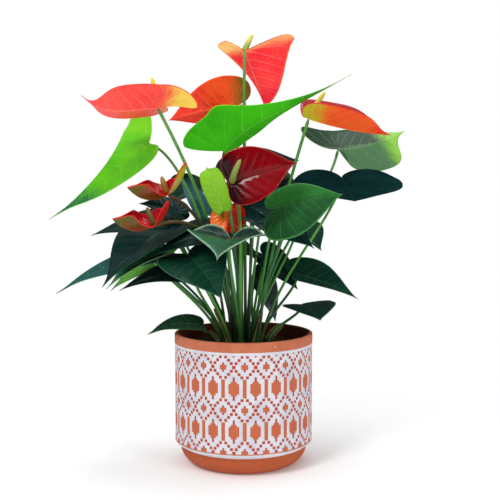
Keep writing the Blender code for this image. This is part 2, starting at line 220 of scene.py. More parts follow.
def outline(b, u, side):
    """Edge of the heart at u, from 0 at the tip to 1 at the notch: along the midrib, and across it."""
    u = np.asarray(u, float)
    w, lobe, belly, drip, wide, slim, flare = (
        pair(value)[side] for value in (b.widest, b.lobe, b.belly, b.drip, b.open, b.slim, b.flare))
    shoulder = 0.4 + 0.4 * min(1, belly)
    back = (0.46 + 0.16 * wide) * (1 - slim)
    spans = (
        (0.0, 0.5, ((1, 0), (shoulder - 0.1 * drip + 0.2 * flare, 0.16 * belly * (1 - drip) + 0.25 * flare),
                    (w + 0.1 + 0.32 * belly * (1 - flare), 1 - 0.28 * flare), (w, 1))),
        (0.5, 0.8, ((w, 1), (w - 0.5 * (w + lobe), 1), (-lobe, (0.86 + 0.08 * wide) * (1 - slim)),
                    (-lobe, back))),
        (0.8, 1.0, ((-lobe, back), (-lobe * (1 - 0.2 * wide), (0.16 + 0.22 * wide) * (1 - slim)),
                    (-lobe * (0.6 - 0.25 * wide), 0.14 * wide), (-b.sinus, 0))),
    )
    x = np.zeros_like(u)
    y = np.zeros_like(u)
    for start, end, (p0, p1, p2, p3) in spans:
        inside = (u >= start) & (u <= end)
        t = (u[inside] - start) / (end - start)
        a, k, c, d = (1 - t) ** 3, 3 * t * (1 - t) ** 2, 3 * t * t * (1 - t), t ** 3
        x[inside] = a * p0[0] + k * p1[0] + c * p2[0] + d * p3[0]
        y[inside] = a * p0[1] + k * p1[1] + c * p2[1] + d * p3[1]
    return x, y


def unit(v):
    v = np.asarray(v, float)
    return v / np.linalg.norm(v)


def axes(b):
    """Base, length, and the directions to the tip, to the left edge and out of the upper face."""
    base = np.array(b.base, float)
    chord = np.array(b.tip, float) - base
    length = np.linalg.norm(chord)
    along = chord / length
    face = np.array(b.face, float)
    up = unit(face - along * face.dot(along))
    return base, length, along, np.cross(up, along), up


def surface(b, x, y):
    """Points of the middle surface at x along the midrib (0 base, 1 tip) and y across it (-1 to 1)."""
    x = np.asarray(x, float)
    y = np.asarray(y, float)
    base, length, along, left, up = axes(b)
    ahead = np.maximum(x, 0)
    behind = np.minimum(x, 0)
    s_curve = b.skew * ahead * (1 - ahead) * (1 - 2 * ahead)
    height = 4 * b.bow * x * (1 - ahead) + s_curve + b.lift * behind ** 2
    slope = 4 * b.bow * (1 - 2 * ahead) + b.skew * (1 - 6 * ahead + 6 * ahead ** 2) + 2 * b.lift * behind
    sideways = 9.5 * b.side * ahead * (1 - ahead) ** 3
    q = np.abs(y)
    first = y >= 0
    half = np.where(first, b.width[0], b.width[1])
    fold = np.where(first, b.fold[0], b.fold[1]) + b.gather * np.abs(x)
    out = half * (np.sin(fold + CUP * q) - np.sin(fold)) / CUP
    lifted = half * (np.cos(fold) - np.cos(fold + CUP * q)) / CUP
    across = np.where(first, out, -out)
    normal = (up - along * slope[..., None]) / np.sqrt(1 + slope ** 2)[..., None]
    spine = base + along * (x * length)[..., None] + up * (height * length)[..., None]
    return spine + left * (sideways * length + across)[..., None] + normal * lifted[..., None]


def normal_at_base(b):
    _, _, along, _, up = axes(b)
    slope = 4 * b.bow + b.skew
    return unit(up - along * slope)


def joint(b, radius, direction, side):
    """Where a round end of this radius, coming along direction, stops just short of the blade."""
    normal = normal_at_base(b) * side
    lean = math.acos(min(1.0, abs(float(normal.dot(direction)))))
    steep = max(0.0, *(side * f for f in b.fold))
    away = BLADE_THICKNESS / 2 + GAP + radius * (math.sin(lean) + math.tan(min(steep, 1.2)))
    return np.array(b.base, float) * MM * PLANT_SCALE + normal * away


def bezier(points, steps):
    t = np.linspace(0, 1, steps + 1)[:, None]
    p0, p1, p2, p3 = (np.array(p, float) for p in points)
    return (1 - t) ** 3 * p0 + 3 * t * (1 - t) ** 2 * p1 + 3 * t * t * (1 - t) * p2 + t ** 3 * p3


def mound(r):
    return SOIL_MOUND * (1 - min(1.0, r / (POT_RADIUS - POT_WALL)) ** 2)


def stem_path(b, radius, steps=STEM_STEPS):
    """Centre line of the stem in metres from the centre of the soil, up from the soil to the blade."""
    normal = normal_at_base(b)
    start = np.array((b.root[0] * MM, b.root[1] * MM, 0.0)) * PLANT_SCALE
    start[2] = mound(math.hypot(start[0], start[1])) + GAP + 0.0004
    base = np.array(b.base, float) * MM * PLANT_SCALE
    toward = unit(base - start)
    direction = unit(normal * (1 - b.arrive) + toward * b.arrive)
    if b.via:
        direction = unit(np.array(b.base, float) - np.array(b.via, float))
    end = joint(b, radius, direction, -1)
    reach = np.linalg.norm(end - start)
    if b.rise:
        lower = start + np.array(b.rise, float) * MM * PLANT_SCALE
    else:
        lower = start + (toward * 0.5 + np.array((0, 0, 0.5))) * reach * 0.4
    upper = end - direction * reach * 0.25
    if b.via:
        upper = np.array(b.via, float) * MM * PLANT_SCALE
    return bezier((start, lower, upper, end), steps)


def spadix_path(b, radius, steps=6):
    top = np.array(b.base, float) + np.array(b.spadix, float)
    normal = normal_at_base(b)
    reach = unit(b.spadix)
    direction = unit(reach * 0.5 + normal * 0.5)
    start = joint(b, radius, direction, 1)
    end = top * MM * PLANT_SCALE
    bend = start + direction * np.linalg.norm(end - start) * 0.45
    t = np.linspace(0, 1, steps + 1)[:, None]
    return (1 - t) ** 2 * start + 2 * t * (1 - t) * bend + t * t * end


# Fine meshes.
def new_object(name, mesh, slot, *nodes):
    """A piece of the plant and the CAD nodes it stands for. slot, the slot that it takes its finish from, is
    not used.
    """
    obj = bpy.data.objects.new(name, mesh)
    bpy.context.scene.collection.objects.link(obj)
    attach(obj, "root")
    if nodes:
        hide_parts(*nodes)
    return obj


def finished_mesh(name, bm, *materials):
    bmesh.ops.recalc_face_normals(bm, faces=bm.faces)
    mesh = bpy.data.meshes.new(name)
    bm.to_mesh(mesh)
    bm.free()
    for made in materials:
        mesh.materials.append(made)
    mesh.shade_smooth()
    return mesh


def smoothstep(x, low, high):
    t = np.clip((x - low) / (high - low), 0, 1)
    return t * t * (3 - 2 * t)


def vein_number(b, x, y, length):
    """Which side vein passes through a point: whole numbers are veins. They leave the midrib ahead of the
    joint, fan out from the joint into the lobes, and arch towards the tip."""
    half = np.where(y >= 0, b.width[0], b.width[1])
    out = np.abs(y) * half
    ahead = x * length - VEIN_ARCH * out ** 2 / half
    foot = ahead - VEIN_LEAN * out
    fan = math.atan2(1, VEIN_LEAN) - np.arctan2(out, ahead)
    return np.where(foot > 0, foot / (length / SIDE_VEINS), fan / VEIN_FAN)


def blade_grid(name, b):
    """A fan of spokes from the joint to the margin, laid on the blade, with the numbers its looks need."""
    bm = bmesh.new()
    bmesh.ops.create_grid(bm, x_segments=BLADE_SPOKES, y_segments=BLADE_RINGS, size=1)
    grid = np.array([v.co[:2] for v in bm.verts])
    around, out = grid[:, 0], (grid[:, 1] + 1) / 2
    left, right = (outline(b, np.abs(around), side) for side in (0, 1))
    first = around >= 0
    edge_x = np.where(first, left[0], right[0])
    edge_y = np.where(first, left[1], -right[1])
    x = edge_x * out
    y = edge_y * out
    length = np.linalg.norm(np.array(b.tip, float) - np.array(b.base, float))
    half = np.where(first, b.width[0], b.width[1])
    reach = np.hypot(edge_x * length, edge_y * half)
    near = np.minimum((1 - out) * reach, 40)
    phase = vein_number(b, x, y, length)
    rib = np.abs(y) * half
    seed = sum(map(ord, name)) % 97
    # The blade is puckered between its veins, with a groove along the midrib.
    away = smoothstep(rib, 0.4, 5)
    pucker = np.abs(np.sin(np.pi * phase)) ** 0.6 * away * smoothstep(near, 0.5, 6) * b.pucker
    groove = -0.45 * np.exp(-((rib / 0.9) ** 2)) * (x > 0) * smoothstep(x, 0.98, 0.6)
    wander = np.sin(7 * around + seed) * np.sin(3.1 * x + seed) + 0.5 * np.sin(17 * around + 2 * seed)
    waves = b.wander * wander * out ** 3 * smoothstep(np.abs(x - 1), 0, 0.15) * smoothstep(x, -b.sinus, 0.05)
    points = surface(b, x, y)
    up = axes(b)[4]
    points = points + up * (pucker + groove + waves)[:, None]
    for vert, point in zip(bm.verts, points * MM + np.array((0, 0, SOIL_LEVEL))):
        vert.co = point
    values = dict(along=x, across=y, edge=near, rib=rib, vein=phase, out=out)
    layers = {key: bm.verts.layers.float.new(key) for key in values}
    for key, layer in layers.items():
        for vert, value in zip(bm.verts, values[key]):
            vert[layer] = value
    bmesh.ops.remove_doubles(bm, verts=bm.verts, dist=0.00002)
    bmesh.ops.recalc_face_normals(bm, faces=bm.faces)
    facing = sum((f.normal * f.calc_area() for f in bm.faces), Vector()).dot(Vector(up))
    if facing < 0:
        bmesh.ops.reverse_faces(bm, faces=bm.faces)
    return bm


def make_blade(name, b, upper, under, slot, *nodes):
    bm = blade_grid(name, b)
    mesh = bpy.data.meshes.new(name)
    bm.to_mesh(mesh)
    bm.free()
    mesh.materials.append(upper)
    mesh.materials.append(under)
    mesh.shade_smooth()
    obj = new_object(name, mesh, slot, *nodes)
    solid = obj.modifiers.new("thickness", "SOLIDIFY")
    solid.thickness = BLADE_THICKNESS
    solid.offset = 0
    solid.material_offset = 1
    return obj


def frames(path):
    """Two directions across a path at each of its points, turning as little as they can."""
    tangents = np.gradient(path, axis=0)
    tangents /= np.linalg.norm(tangents, axis=1)[:, None]
    side = np.cross(tangents[0], (0.0, 1.0, 0.2))
    sides = []
    for tangent in tangents:
        side = unit(side - tangent * tangent.dot(side))
        sides.append(side)
    sides = np.array(sides)
    return sides, np.cross(tangents, sides)


def join_rings(bm, rows):
    for low, high in zip(rows, rows[1:]):
        for k in range(len(low)):
            after = (k + 1) % len(low)
            bm.faces.new((low[k], low[after], high[after], high[k]))


def tube(path, radii, around):
    """A closed round bmesh along a path. radii is one number a point, or one for each point and spoke."""
    radii = np.broadcast_to(np.asarray(radii, float).reshape(len(path), -1), (len(path), around))
    side, other = frames(path)
    angle = np.linspace(0, 2 * math.pi, around, endpoint=False)
    ring = side[:, None] * np.cos(angle)[:, None] + other[:, None] * np.sin(angle)[:, None]
    points = path[:, None] + ring * radii[..., None]
    bm = bmesh.new()
    layers = {key: bm.verts.layers.float.new(key) for key in ("along", "turn")}
    rows = []
    for i, row in enumerate(points):
        verts = [bm.verts.new(p) for p in row]
        for vert, value in zip(verts, angle):
            vert[layers["along"]] = i / (len(path) - 1)
            vert[layers["turn"]] = value
        rows.append(verts)
    join_rings(bm, rows)
    bm.faces.new(reversed(rows[0]))
    bm.faces.new(rows[-1])
    return bm


def make_stem(name, b, radius, look, *nodes):
    """A stem that widens into its sheath at the foot and swells a little under the blade."""
    path = stem_path(b, 0.0) + np.array((0, 0, SOIL_LEVEL))
    path = np.vstack([path[0] - (0, 0, 0.003), path])
    t = np.linspace(0, 1, len(path))
    length = np.linalg.norm(np.diff(path, axis=0), axis=1).sum()
    foot = np.exp(-t * length / 0.018)
    knee = np.exp(-(((1 - t) * length - 0.005) / 0.005) ** 2)
    end = smoothstep((1 - t) * length, 0, 0.0018)
    swell = 0.22 if b.spadix is None else 0.10
    radii = radius * (0.84 + 0.3 * foot + swell * knee) * (0.55 + 0.45 * end)
    mesh = finished_mesh(name, tube(path, radii, STEM_SIDES), look)
    return new_object(name, mesh, "flower_stem" if b.spadix else "leaf_stem", *nodes)


def make_spadix(name, b, look, *nodes):
    """A tapering spike covered in small florets set in crossing spirals."""
    path = spadix_path(b, 0.0, SPADIX_STEPS) + np.array((0, 0, SOIL_LEVEL))
    t = np.linspace(0, 1, SPADIX_STEPS + 1)
    length = np.linalg.norm(np.diff(path, axis=0), axis=1).sum()
    profile = (0.78 + 0.26 * smoothstep(t, 0, 0.16) - 0.34 * t ** 1.5) * np.sqrt(np.clip(1 - t ** 9, 0, 1))
    radius = SPADIX_RADIUS * np.maximum(profile, 0.04)
    angle = np.linspace(0, 2 * math.pi, SPADIX_SIDES, endpoint=False)
    rows = t[:, None] * length / FLORET
    floret = np.abs(np.sin(4 * angle + math.pi * rows)) * np.abs(np.sin(4 * angle - math.pi * rows))
    bumps = FLORET * 0.22 * floret * smoothstep(t, 0.02, 0.1)[:, None] * profile[:, None]
    bm = tube(path, radius[:, None] + bumps, SPADIX_SIDES)
    layer = bm.verts.layers.float.new("floret")
    bm.verts.ensure_lookup_table()
    for vert, value in zip(bm.verts, floret.ravel()):
        vert[layer] = value
    return new_object(name, finished_mesh(name, bm, look), "spadix", *nodes)


# Materials.
def rgb(colour):
    """A colour given as it looks on a screen, 0 to 255, as the linear numbers that a shader takes."""
    return tuple(c / 3295 if c <= 10 else ((c / 255 + 0.055) / 1.055) ** 2.4 for c in colour)


def darker(colour, by):
    return tuple(c * by for c in colour)


class Number:
    """A number or colour that changes over a surface: a node's output, with the usual operators."""

    def __init__(self, tree, socket):
        self.tree = tree
        self.socket = socket

    def math(self, operation, *others):
        node = self.tree.nodes.new("ShaderNodeMath")
        node.operation = operation
        for place, value in zip(node.inputs, (self, *others)):
            put(self.tree, place, value)
        return Number(self.tree, node.outputs[0])

    def __add__(self, other):
        return self.math("ADD", other)

    def __sub__(self, other):
        return self.math("SUBTRACT", other)

    def __mul__(self, other):
        return self.math("MULTIPLY", other)

    def __truediv__(self, other):
        return self.math("DIVIDE", other)

    def __rsub__(self, other):
        return self * -1 + other

    __radd__ = __add__
    __rmul__ = __mul__

    def step(self, low, high):
        """0 at low, 1 at high, smooth between them; low may be the higher."""
        node = self.tree.nodes.new("ShaderNodeMapRange")
        node.interpolation_type = "SMOOTHSTEP"
        low, high, start, end = (low, high, 0.0, 1.0) if low < high else (high, low, 1.0, 0.0)
        for place, value in zip(node.inputs, (self, low, high, start, end)):
            put(self.tree, place, value)
        return Number(self.tree, node.outputs[0])

    def within(self, half, soft=0.2):
        """1 where the number is within half of zero."""
        return self.math("ABSOLUTE").step(half + soft, half - soft)


def put(tree, place, value):
    if isinstance(value, Number):
        tree.links.new(value.socket, place)
    elif isinstance(value, tuple) and place.type == "RGBA":
        place.default_value = (*value, 1)
    else:
        place.default_value = value


class Shade:
    """A new material and the nodes that feed its shader."""

    def __init__(self, name):
        self.material = bpy.data.materials.new(name)
        self.material.use_nodes = True
        self.tree = self.material.node_tree
        self.shader = self.tree.nodes["Principled BSDF"]

    def node(self, kind, inputs, output=0, **settings):
        node = self.tree.nodes.new(kind)
        for key, value in settings.items():
            setattr(node, key, value)
        for key, value in inputs.items():
            put(self.tree, node.inputs[key], value)
        return Number(self.tree, node.outputs[output])

    def attribute(self, name):
        return self.node("ShaderNodeAttribute", {}, "Fac", attribute_name=name)

    def place(self):
        return self.node("ShaderNodeTexCoord", {}, "Object")

    def split(self, vector):
        node = self.node("ShaderNodeSeparateXYZ", {"Vector": vector}).socket.node
        return [Number(self.tree, out) for out in node.outputs]

    def joined(self, x, y, z):
        return self.node("ShaderNodeCombineXYZ", {"X": x, "Y": y, "Z": z})

    def noise(self, at, scale, detail=3.0, rough=0.5, warp=0.0):
        inputs = {"Vector": at, "Scale": scale, "Detail": detail, "Roughness": rough, "Distortion": warp}
        return self.node("ShaderNodeTexNoise", inputs)

    def cells(self, at, scale, feature="DISTANCE_TO_EDGE"):
        return self.node("ShaderNodeTexVoronoi", {"Vector": at, "Scale": scale}, "Distance", feature=feature)

    def blend(self, factor, a, b):
        inputs = {0: factor, 6: a, 7: b}
        return self.node("ShaderNodeMix", inputs, 2, data_type="RGBA")

    def bump(self, height, distance, strength=1.0):
        return self.node("ShaderNodeBump", {"Height": height, "Distance": distance, "Strength": strength})

    def finish(self, **inputs):
        for key, value in inputs.items():
            put(self.tree, self.shader.inputs[key.replace("_", " ")], value)
        return self.material


def side(main, shade=None, vein=None, edge=None, lobe=None, tip=None, left=None, speckle=None,
         veins=0.6, gloss=0.42, coat=0.0, edge_width=2.0, lobe_at=0.0, tip_at=0.75, raised=-1, shine=0.04,
         glow=0.0):
    """How one side of a blade looks. Colours are as on a screen, and a zone left out isn't drawn.

    Widths are in millimetres, places go from 0 at the joint to 1 at the tip, and the glow is emission in the
    blade's own colour: painted light standing in for light let through.
    """
    return SimpleNamespace(**locals())


def blade_material(name, look, seed):
    s = Shade(name)
    along, across, edge, rib, vein, out = map(
        s.attribute, ("along", "across", "edge", "rib", "vein", "out"))
    at = s.place()
    cloud = s.noise(at, 26, 3)
    fine = s.noise(at, 420, 3, 0.6)
    streak = s.noise(s.joined(vein * 2.2, out * 1.6, float(seed)), 1.6, 4, 0.6)
    main = rgb(look.main)
    colour = s.blend(cloud.step(0.35, 0.68), main, rgb(look.shade or darker(look.main, 0.82)))
    mottle = cloud * 0.35 - 0.17 + streak * 0.3 - 0.15
    if look.left:
        colour = s.blend((across + mottle).step(-0.1, 0.12), colour, rgb(look.left))
    if look.lobe:
        near_joint = (along + mottle).step(look.lobe_at + 0.14, look.lobe_at - 0.14)
        colour = s.blend(near_joint, colour, rgb(look.lobe))
    if look.tip:
        near_tip = (along + mottle).step(look.tip_at - 0.16, look.tip_at + 0.16)
        colour = s.blend(near_tip, colour, rgb(look.tip))
    if look.edge:
        ragged = edge + streak * 1.6 * look.edge_width
        colour = s.blend(ragged.step(look.edge_width * 2.0, look.edge_width * 0.8), colour, rgb(look.edge))
    if look.speckle:
        spots = s.noise(at, 300, 2, 0.7).step(0.56, 0.66) * cloud.step(0.4, 0.6)
        colour = s.blend(spots * 0.75, colour, rgb(look.speckle))
    # Side veins, thinner towards the margin, and a fine net between them.
    wave = (vein + fine * 0.03).math("PINGPONG", 0.5)
    thick = out * -0.055 + 0.085
    lines = (wave / thick).step(1.0, 0.25) * out.step(1.0, 0.85)
    net = s.cells(at, 230).step(0.05, 0.0) * out.step(0.0, 0.2)
    midrib = (rib + along.step(0.4, 1.0) * 0.5).step(1.15, 0.45) * along.step(-0.02, 0.0)
    marked = lines.math("MAXIMUM", midrib)
    if look.vein:
        colour = s.blend((marked.math("MAXIMUM", net * 0.35)) * look.veins, colour, rgb(look.vein))
    rough = cloud * 0.12 + fine * 0.1 + (look.gloss - 0.11)
    height = (marked * 0.5 + net * 0.12) * look.raised + fine * 0.22 + streak * 0.12
    # The glow adds emission in the blade's own colour: painted light standing in for light let through the
    # blade.
    return s.finish(Base_Color=colour, Roughness=rough, Normal=s.bump(height, 0.0004, 0.7),
                    Specular_IOR_Level=look.shine, Emission_Color=colour, Emission_Strength=look.glow,
                    Coat_Weight=look.coat, Coat_Roughness=look.gloss * 0.5, Coat_IOR=1.45)


def stem_material(name, low, middle, high):
    """Green along its length, fibrous, with a darker foot and a few brown flecks."""
    s = Shade(name)
    along = s.attribute("along")
    turn = s.attribute("turn")
    at = s.place()
    fibre = s.noise(s.joined(turn * 2.2, along * 5, 0.0), 2.2, 3, 0.6)
    cloud = s.noise(at, 60, 3)
    blur = along + cloud * 0.3 - 0.15
    colour = s.blend(blur.step(0.02, 0.3), rgb(low), rgb(middle))
    colour = s.blend(blur.step(0.6, 1.0), colour, rgb(high))
    colour = s.blend(fibre.step(0.45, 0.75) * 0.35, colour, rgb(darker(middle, 0.6)))
    flecks = s.noise(at, 380, 2, 0.7).step(0.66, 0.72)
    colour = s.blend(flecks * 0.5, colour, rgb((120, 95, 50)))
    relief = s.bump(fibre + flecks * 0.3, 0.0003, 0.6)
    return s.finish(Base_Color=colour, Roughness=cloud * 0.2 + 0.28, Normal=relief, Specular_IOR_Level=0.4)


def spadix_material(name, low, high):
    """Fleshy florets, from one colour at the foot to another at the tip, with painted shade in the gaps
    between them and a painted highlight on their crowns.
    """
    s = Shade(name)
    along = s.attribute("along")
    floret = s.attribute("floret")
    cloud = s.noise(s.place(), 500, 3)
    colour = s.blend((along + cloud * 0.4 - 0.2).step(0.2, 0.85), rgb(low), rgb(high))
    # Painted shade: the gaps between the florets are darker.
    colour = s.blend(floret.step(0.45, 0.0) * 0.55, colour, rgb(darker(low, 0.5)))
    # Painted highlight: the crowns of the florets are lighter.
    colour = s.blend(floret.step(0.75, 1.0) * 0.4, colour, rgb(tuple(min(255, c + 40) for c in high)))
    return s.finish(Base_Color=colour, Roughness=cloud * 0.25 + 0.4, Normal=s.bump(cloud, 0.0002, 0.5),
                    Specular_IOR_Level=0.35)


def pot_material():
    """Terracotta with a pattern of white glaze: rows of small squares, stars, bars and stepped lozenges. The
    clay between the raised glaze and the inside wall carry painted shade.
    """
    s = Shade("glazed_terracotta")
    at = s.place()
    x, y, z = s.split(at)
    cloud = s.noise(at, 45, 4, 0.6)
    grain = s.noise(at, 900, 3, 0.7)
    pores = s.cells(at, 420, "F1").step(0.16, 0.05) * s.noise(at, 120, 2).step(0.5, 0.7)
    wobble = (s.noise(at, 700, 2) - 0.5) * 0.7
    round_at = y.math("ARCTAN2", x) * (PATTERN_REPEATS * 24 / (2 * math.pi)) - PATTERN_START
    u = (round_at + wobble).math("PINGPONG", 12.0)
    row = (z - STAR_HEIGHT) * (48 / ROW_PITCH)
    v = (row + wobble).math("PINGPONG", 24.0)
    small, large = [], []
    for at_u, at_v, half in ((3, 11.3, 1.6), (6.2, 7.8, 1.6), (9.4, 4.3, 1.6), (12, 0, 1.9)):
        small.append((u - at_u).within(half) * (v - at_v).within(half))
    small.append(u.within(1.1) * v.within(5.3))
    small.append((u - 12).within(1.2) * v.step(10.8, 11.2))
    large.append(u.within(3.8) * v.within(2.7))
    large.append(u.within(2.1) * v.step(13.4, 13.8))
    for half, low in ((3.3, 15.8), (5.9, 18.2)):
        large.append((u - 12).within(half) * v.step(low - 0.2, low + 0.2))
    squares, panels = small[0], large[0]
    for shape in small[1:]:
        squares = squares.math("MAXIMUM", shape)
    for shape in large[1:]:
        panels = panels.math("MAXIMUM", shape)
    clay = squares.math("MAXIMUM", panels)
    fuzz = wobble * 0.0003
    height = z + fuzz
    radius = (x * x + y * y).math("SQRT")
    outer = radius.step(POT_RADIUS - 0.0035, POT_RADIUS - 0.0028)
    pattern = (height - 0.07775).within(0.05075, 0.0002)
    border = (height - 0.12995).within(0.00145, 0.00015)
    foot_line = (height - 0.02315).within(0.00265, 0.0002)
    glaze = (1 - clay) * pattern
    glaze = glaze.math("MAXIMUM", border) * outer
    glaze = glaze.math("MAXIMUM", foot_line)
    specks = s.cells(at, 170, "F1").step(0.13, 0.08) * (height - 0.134).within(0.0035, 0.0005) * outer
    glaze = glaze.math("MAXIMUM", specks * s.noise(at, 60, 1).step(0.58, 0.62))
    clay_colour = s.blend(cloud.step(0.3, 0.7), rgb((206, 122, 90)), rgb((194, 106, 74)))
    # The clay between the raised glaze is its own colour darkened, most in the small squares: painted shade
    # in the recesses.
    inlay = s.blend(pattern * outer, clay_colour, rgb((200, 104, 70)))
    inlay = s.blend(pattern * outer * squares * (1 - panels), inlay, rgb((184, 64, 32)))
    base = s.blend(height.step(0.026, 0.02), inlay, rgb((190, 92, 54)))
    # Painted shade: the inside wall above the soil is painted dark brown.
    base = s.blend((1 - outer) * height.step(0.03, 0.05), base, rgb((120, 52, 36)))
    base = s.blend(grain.step(0.5, 0.75) * 0.22, base, rgb((225, 150, 112)))
    base = s.blend(pores * 0.6, base, rgb((120, 55, 35)))
    white = s.blend(cloud.step(0.4, 0.7), rgb((232, 234, 242)), rgb((212, 215, 228)))
    white = s.blend(grain.step(0.55, 0.8) * 0.5, white, rgb((160, 152, 166)))
    colour = s.blend(glaze * 0.96, base, white)
    dots = (round_at * (2 * math.pi)).math("COSINE") * (row * (2 * math.pi)).math("COSINE")
    relief = glaze * 0.8 + glaze * dots * 0.18 + grain * 0.12 - pores * 0.3 + cloud * 0.1
    return s.finish(Base_Color=colour, Roughness=glaze * -0.22 + grain * 0.15 + 0.78,
                    Normal=s.bump(relief, 0.0005, 0.75), Specular_IOR_Level=0.3)


def soil_material(name, light, dark):
    s = Shade(name)
    at = s.place()
    lumps = s.noise(at, 260, 5, 0.65)
    fibres = s.noise(at, 900, 3, 0.7)
    colour = s.blend(lumps.step(0.35, 0.7), rgb(dark), rgb(light))
    colour = s.blend(fibres.step(0.66, 0.75) * 0.5, colour, rgb((120, 90, 60)))
    relief = s.bump(lumps + fibres * 0.4, 0.0012, 0.9)
    return s.finish(Base_Color=colour, Roughness=lumps * 0.15 + 0.8, Normal=relief, Specular_IOR_Level=0.2)


# Looks of each flower and leaf: the upper side, then the underside.
SPATHE_LOOKS = {
    "1": (side((205, 30, 30), lobe=(225, 90, 40), vein=(235, 120, 100), veins=0.4, coat=0.3, gloss=0.28),
          side((252, 62, 62), shade=(250, 44, 56), vein=(255, 150, 136), edge=(255, 118, 66),
               lobe=(255, 206, 120), tip=(236, 32, 56), lobe_at=0.02, veins=0.35, coat=0.15, raised=1,
               glow=0.2)),
    "2": (side((215, 45, 40), lobe=(235, 130, 50), vein=(240, 130, 110), veins=0.4, coat=0.3, gloss=0.28),
          side((255, 84, 76), shade=(252, 68, 70), vein=(255, 160, 140), edge=(240, 60, 60),
               lobe=(255, 214, 92), tip=(250, 74, 82), lobe_at=-0.13, edge_width=1.2, veins=0.32, coat=0.12,
               raised=1, glow=0.26)),
    "3": (side((210, 40, 30), vein=(240, 120, 90), coat=0.3, gloss=0.3),
          side((252, 86, 36), shade=(236, 66, 26), vein=(255, 140, 100), lobe=(128, 96, 20),
               tip=(255, 66, 52), lobe_at=-0.06, tip_at=0.45, edge=(246, 90, 60), edge_width=0.8,
               speckle=(150, 56, 24), veins=0.3, coat=0.12, raised=1, glow=0.18)),
    "4": (side((160, 10, 20), shade=(130, 6, 16), vein=(95, 4, 12), edge=(200, 30, 30), coat=0.5,
               gloss=0.24),
          side((252, 100, 40), shade=(255, 82, 42), vein=(255, 170, 84), edge=(244, 44, 42),
               lobe=(196, 192, 44), tip=(240, 54, 40), speckle=(170, 110, 36), lobe_at=0.1, tip_at=0.8,
               veins=0.28, coat=0.12, raised=1, glow=0.3)),
    "5": (side((138, 4, 14), shade=(108, 3, 12), vein=(76, 3, 10), edge=(200, 22, 32), lobe=(40, 8, 12),
               lobe_at=0.12, edge_width=0.9, veins=0.5, coat=0.45, gloss=0.2),
          side((120, 30, 20), vein=(90, 40, 20), raised=1)),
    "6": (side((152, 24, 14), shade=(112, 14, 10), vein=(80, 10, 8), edge=(232, 120, 40),
               left=(170, 34, 16), edge_width=1.6, veins=0.5, coat=0.5, gloss=0.22),
          side((196, 14, 14), shade=(168, 10, 12), vein=(226, 60, 40), left=(240, 116, 34),
               tip=(206, 24, 22), edge=(210, 30, 24), edge_width=0.8, coat=0.3, gloss=0.3, raised=1,
               glow=0.1)),
    "7": (side((200, 10, 28), shade=(136, 6, 22), vein=(90, 6, 14), edge=(222, 36, 30), edge_width=0.8,
               coat=0.5, gloss=0.2, glow=0.08),
          side((150, 60, 26), shade=(96, 92, 26), vein=(186, 120, 60), edge=(214, 30, 30),
               lobe=(196, 188, 34), lobe_at=-0.02, tip=(96, 96, 30), edge_width=2.4, coat=0.3, gloss=0.3,
               raised=1, veins=0.3, glow=0.06)),
    "8": (side((200, 12, 26), shade=(136, 8, 20), vein=(92, 6, 12), edge=(216, 32, 34), edge_width=0.9,
               coat=0.5, gloss=0.22, glow=0.08),
          side((140, 50, 28), shade=(90, 80, 28), vein=(160, 130, 70), edge=(206, 24, 30), tip=(84, 92, 30),
               lobe=(196, 24, 26), lobe_at=-0.02, edge_width=2.4, coat=0.3, gloss=0.3, raised=1, veins=0.3,
               glow=0.06)),
}
SPADIX_LOOKS = {
    "1": ((160, 176, 60), (240, 234, 110)), "2": ((214, 200, 50), (250, 232, 30)),
    "3": ((200, 180, 60), (226, 210, 70)), "4": ((196, 190, 60), (232, 206, 60)),
    "5": ((120, 140, 52), (148, 164, 78)), "6": ((120, 120, 50), (160, 150, 60)),
    "7": ((150, 100, 16), (176, 140, 24)), "8": ((104, 90, 30), (116, 104, 40)),
}
NIGHT = (10, 42, 38)
PALE_UNDER = side((62, 108, 78), shade=(50, 94, 66), vein=(120, 160, 120), veins=0.45, gloss=0.5, coat=0.0,
                  raised=1)
